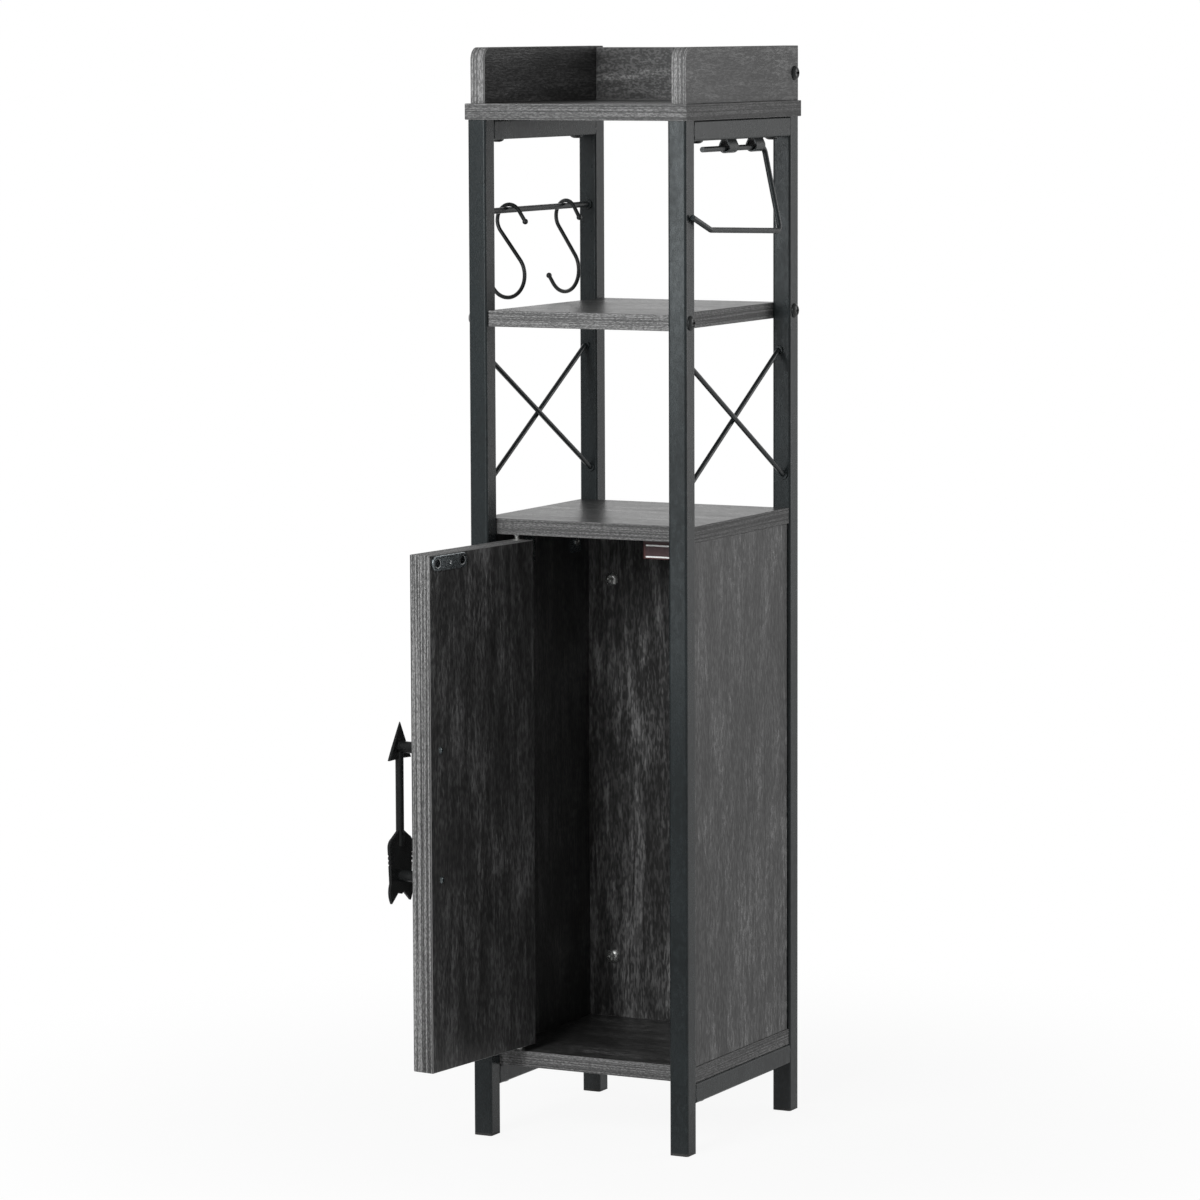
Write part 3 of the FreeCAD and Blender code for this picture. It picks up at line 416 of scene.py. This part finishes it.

# The per-board edge and facing tones set here are partly painted light, which offsets how brightly each
# board is lit.
boards = {
    "top_board": dict(thick="Z", grain="X", seed=0.13, band_tone_and_painted_light=0.96),
    "middle_shelf": dict(thick="Z", grain="X", seed=0.77, band_tone_and_painted_light=1.32),
    "cabinet_top_board": dict(thick="Z", grain="X", seed=0.91, band_tone_and_painted_light=0.93),
    "bottom_board": dict(thick="Z", grain="X", seed=1.37, band_tone_and_painted_light=1.08),
    "left_side_panel": dict(thick="X", grain="Z", seed=1.71, grit=0.16),
    "right_side_panel": dict(thick="X", grain="Z", seed=2.23, mottle=0.35, grit=0.30, flow=0.22),
    "back_panel": dict(thick="Y", grain="Z", seed=2.69, flow=0.34),
    "tray_left_guard": dict(thick="X", grain="Y", seed=3.11, mottle=0.35, grit=0.26, flow=0.16,
                            band_tone_and_painted_light=1.45),
    "tray_right_guard": dict(thick="X", grain="Y", seed=3.53, mottle=0.4, grit=0.34, flow=0.22,
                             band_tone_and_painted_light=1.4),
    # This guard's facing is painted about twice as pale, painted light that offsets the shade at the back
    # of the tray.
    "tray_back_guard": dict(thick="Y", grain="X", seed=4.07, mottle=0.1, grit=0.20, flow=0.24,
                            streak=0.08, grain_pitch=330.0, face_painted_light=1.95),
    "door_panel": dict(thick="Y", grain="Z", turn=DOOR_OPEN, seed=4.49, grit=0.20, flow=0.18,
                       band_tone_and_painted_light=1.22, band_lines=0.58, band_range=(0.040, 0.31)),
}
for name, look in boards.items():
    finish[name] = board_material(name, **look)

for name, piece in nodes.items():
    if name in finish:
        material = finish[name]
    elif name.endswith("screws"):
        material = zinc
    else:
        material = steel
    piece.data.materials.clear()
    piece.data.materials.append(material)


# Weld beads: a ripple of small overlapping lobes, tapered at both ends.
BEAD_SIDES = 8
BEAD_RIPPLES_PER_M = 620.0
BEAD_RIPPLE = 0.13
BEAD_STEPS_PER_RIPPLE = 4
BEAD_FEWEST_STEPS = 10
BEAD_END = 0.06
BEAD_TAPER_POWER = 0.35


def bead(mesh, start, end, radius):
    run = end - start
    length = run.length
    along = run.normalized()
    side = along.orthogonal().normalized()
    other = along.cross(side)
    steps = max(BEAD_FEWEST_STEPS, int(length * BEAD_RIPPLES_PER_M * BEAD_STEPS_PER_RIPPLE))
    rings = []
    for i in range(steps + 1):
        share = i / steps
        taper = math.sin(math.pi * (BEAD_END + share * (1.0 - 2.0 * BEAD_END))) ** BEAD_TAPER_POWER
        ripple = 1.0 + BEAD_RIPPLE * math.sin(2.0 * math.pi * BEAD_RIPPLES_PER_M * length * share)
        reach = radius * taper * ripple
        middle = start + along * (length * share)
        ring = []
        for k in range(BEAD_SIDES):
            a = 2.0 * math.pi * k / BEAD_SIDES
            out = side * (reach * math.cos(a)) + other * (reach * math.sin(a))
            ring.append(mesh.verts.new(middle + out))
        rings.append(ring)
    for low, high in zip(rings, rings[1:]):
        for k in range(BEAD_SIDES):
            j = (k + 1) % BEAD_SIDES
            mesh.faces.new((low[k], low[j], high[j], high[k]))
    mesh.faces.new(tuple(reversed(rings[0])))
    mesh.faces.new(tuple(rings[-1]))


def finish_piece(name, mesh, material, body):
    data = bpy.data.meshes.new(name)
    mesh.to_mesh(data)
    mesh.free()
    for polygon in data.polygons:
        polygon.use_smooth = True
    data.materials.append(material)
    piece = bpy.data.objects.new(name, data)
    scene.collection.objects.link(piece)
    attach(piece, body)


RAIL_BEAD = 0.0016
RAIL_BEAD_SINK = 0.0012
RAIL_BEAD_OUT = 0.00084
RAIL_BEAD_MARGIN = 0.004


def rail_welds():
    mesh = bmesh.new()
    for name in ("left_top_rail", "right_top_rail", "left_bottom_rail", "right_bottom_rail"):
        low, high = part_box(name)
        for x, inward in ((low.x, 1.0), (high.x, -1.0)):
            for y, away in ((low.y, -1.0), (high.y, 1.0)):
                at_x = x + inward * RAIL_BEAD_SINK
                at_y = y + away * RAIL_BEAD_OUT
                bead(mesh, Vector((at_x, at_y, low.z + RAIL_BEAD_MARGIN)),
                     Vector((at_x, at_y, high.z - RAIL_BEAD_MARGIN)), RAIL_BEAD)
    finish_piece("rail_welds", mesh, steel, "frame")


rail_welds()

make_camera()

# Floor: a wide pale disc that keeps the object's soft shadow. The lens sees it fade to white further out.
FLOOR_RADIUS = 30.0
FLOOR_SEGMENTS = 96
FLOOR_COLOUR = (0.86, 0.86, 0.86, 1.0)
FLOOR_NEAR_WHITE = 0.92
FLOOR_FADE_FROM, FLOOR_FADE_FULL = 0.25, 0.95

# The gloss sees the floor pale behind the object, from near to far, and dim in front of it.
FLOOR_GLOSS_NEAR, FLOOR_GLOSS_FAR = 0.52, 0.62
FLOOR_NEAR, FLOOR_FAR = 0.5, 7.0
FLOOR_GLOSS_FRONT = 0.20
FLOOR_FRONT, FLOOR_BEHIND = -0.5, 0.15


def floor_material():
    material, t = new_material("floor")
    spot = t.spot()
    away = t.add("ShaderNodeVectorMath", {0: spot}, operation="LENGTH").outputs["Value"]
    back = t.split(spot)[1]
    rays = t.add("ShaderNodeLightPath").outputs
    seen = t.math("MAXIMUM", rays["Is Camera Ray"], rays["Is Transmission Ray"])
    faded = t.blend(t.step(away, FLOOR_FADE_FROM, FLOOR_FADE_FULL), FLOOR_NEAR_WHITE, 1.0)
    shown = t.math("MAXIMUM", t.math("MULTIPLY", seen, faded), rays["Is Glossy Ray"])
    behind = t.blend(t.step(away, FLOOR_NEAR, FLOOR_FAR), FLOOR_GLOSS_NEAR, FLOOR_GLOSS_FAR)
    gloss = t.blend(t.step(back, FLOOR_FRONT, FLOOR_BEHIND), FLOOR_GLOSS_FRONT, behind)
    strength = t.blend(rays["Is Glossy Ray"], 1.0, gloss)
    plain = t.add("ShaderNodeBsdfDiffuse", {0: FLOOR_COLOUR}).outputs[0]
    white = t.add("ShaderNodeEmission", {0: WHITE, 1: strength}).outputs[0]
    both = t.add("ShaderNodeMixShader", {0: shown, 1: plain, 2: white}).outputs[0]
    t.add("ShaderNodeOutputMaterial", {0: both})
    return material


ground = bmesh.new()
bmesh.ops.create_circle(ground, cap_ends=True, segments=FLOOR_SEGMENTS, radius=FLOOR_RADIUS)
floor_data = bpy.data.meshes.new("floor")
ground.to_mesh(floor_data)
ground.free()
floor_data.materials.append(floor_material())
floor = bpy.data.objects.new("floor", floor_data)
scene.collection.objects.link(floor)

# World: an even dim fill, seen as plain white by the lens.
FILL = 0.13

# The gloss sees it white behind the object, dimmer on the right, and dim in front and above.
SKY_BEHIND, SKY_RIGHT, SKY_DIM = 1.0, 0.56, 0.21
RIGHT_FROM, RIGHT_FULL = -0.1, 0.5
BEHIND_FROM, BEHIND_FULL = -0.25, 0.35
ABOVE_FROM, ABOVE_FULL = 0.15, 0.60


def make_world():
    world = bpy.data.worlds.new("studio")
    scene.world = world
    world.use_nodes = True
    t = Tree(world.node_tree)
    right, back, up = t.split(t.add("ShaderNodeTexCoord").outputs["Generated"])
    rays = t.add("ShaderNodeLightPath").outputs
    behind = t.blend(t.step(right, RIGHT_FROM, RIGHT_FULL), SKY_BEHIND, SKY_RIGHT)
    gloss = t.blend(t.step(back, BEHIND_FROM, BEHIND_FULL), SKY_DIM, behind)
    gloss = t.blend(t.step(up, ABOVE_FROM, ABOVE_FULL), gloss, SKY_DIM)
    level = t.blend(rays["Is Glossy Ray"], FILL, gloss)
    seen = t.math("MAXIMUM", rays["Is Camera Ray"], rays["Is Transmission Ray"])
    sky = t.add("ShaderNodeBackground", {0: WHITE, 1: t.blend(seen, level, 1.0)})
    t.add("ShaderNodeOutputWorld", {0: sky.outputs[0]})


make_world()


def soft_light(name, at, aim, size, power, tint=(1.0, 1.0, 1.0), diffuse=True, gloss=True):
    """A rectangular lamp, sized in metres, that may light only diffuse or only glossy surfaces."""
    data = bpy.data.lights.new(name, "AREA")
    data.shape = "RECTANGLE"
    data.size, data.size_y = size
    data.energy = power
    data.color = tint
    lamp = bpy.data.objects.new(name, data)
    scene.collection.objects.link(lamp)
    lamp.visible_camera = False
    lamp.visible_diffuse = diffuse
    lamp.visible_glossy = gloss
    lamp.location = at
    lamp.rotation_euler = (Vector(aim) - Vector(at)).to_track_quat("-Z", "Y").to_euler()


# The key lights the diffuse surfaces and its card gives the shelf tops their sheen. The two glints give the
# front right post its sheen.
COOL_WHITE = (0.94, 1.0, 1.02)
soft_light("key", at=(-0.1, -2.15, 1.50), aim=(0.0, 0.0, 0.82), size=(1.0, 1.0), power=37.0, gloss=False)
soft_light("key_card", at=(-0.2, -2.15, 1.68), aim=(0.0, 0.0, 0.82), size=(1.8, 1.1), power=11.0,
           diffuse=False)
soft_light("glint", at=(-0.18, -0.75, 1.02), aim=(0.11, -0.13, 1.00), size=(0.2, 0.50), power=1.08,
           tint=COOL_WHITE, diffuse=False)
soft_light("glint_low", at=(-0.18, -0.75, 0.58), aim=(0.11, -0.13, 0.56), size=(0.2, 0.38), power=0.26,
           tint=COOL_WHITE, diffuse=False)
soft_light("side", at=(1.75, 1.35, 1.1), aim=(0.1, 0.0, 0.55), size=(1.2, 1.6), power=10.0)
soft_light("left", at=(-1.9, 0.6, 1.2), aim=(-0.1, 0.0, 0.55), size=(1.2, 1.6), power=8.0)
soft_light("top", at=(0.0, 0.1, 3.2), aim=(0.0, 0.0, 0.0), size=(1.3, 1.3), power=3.0)
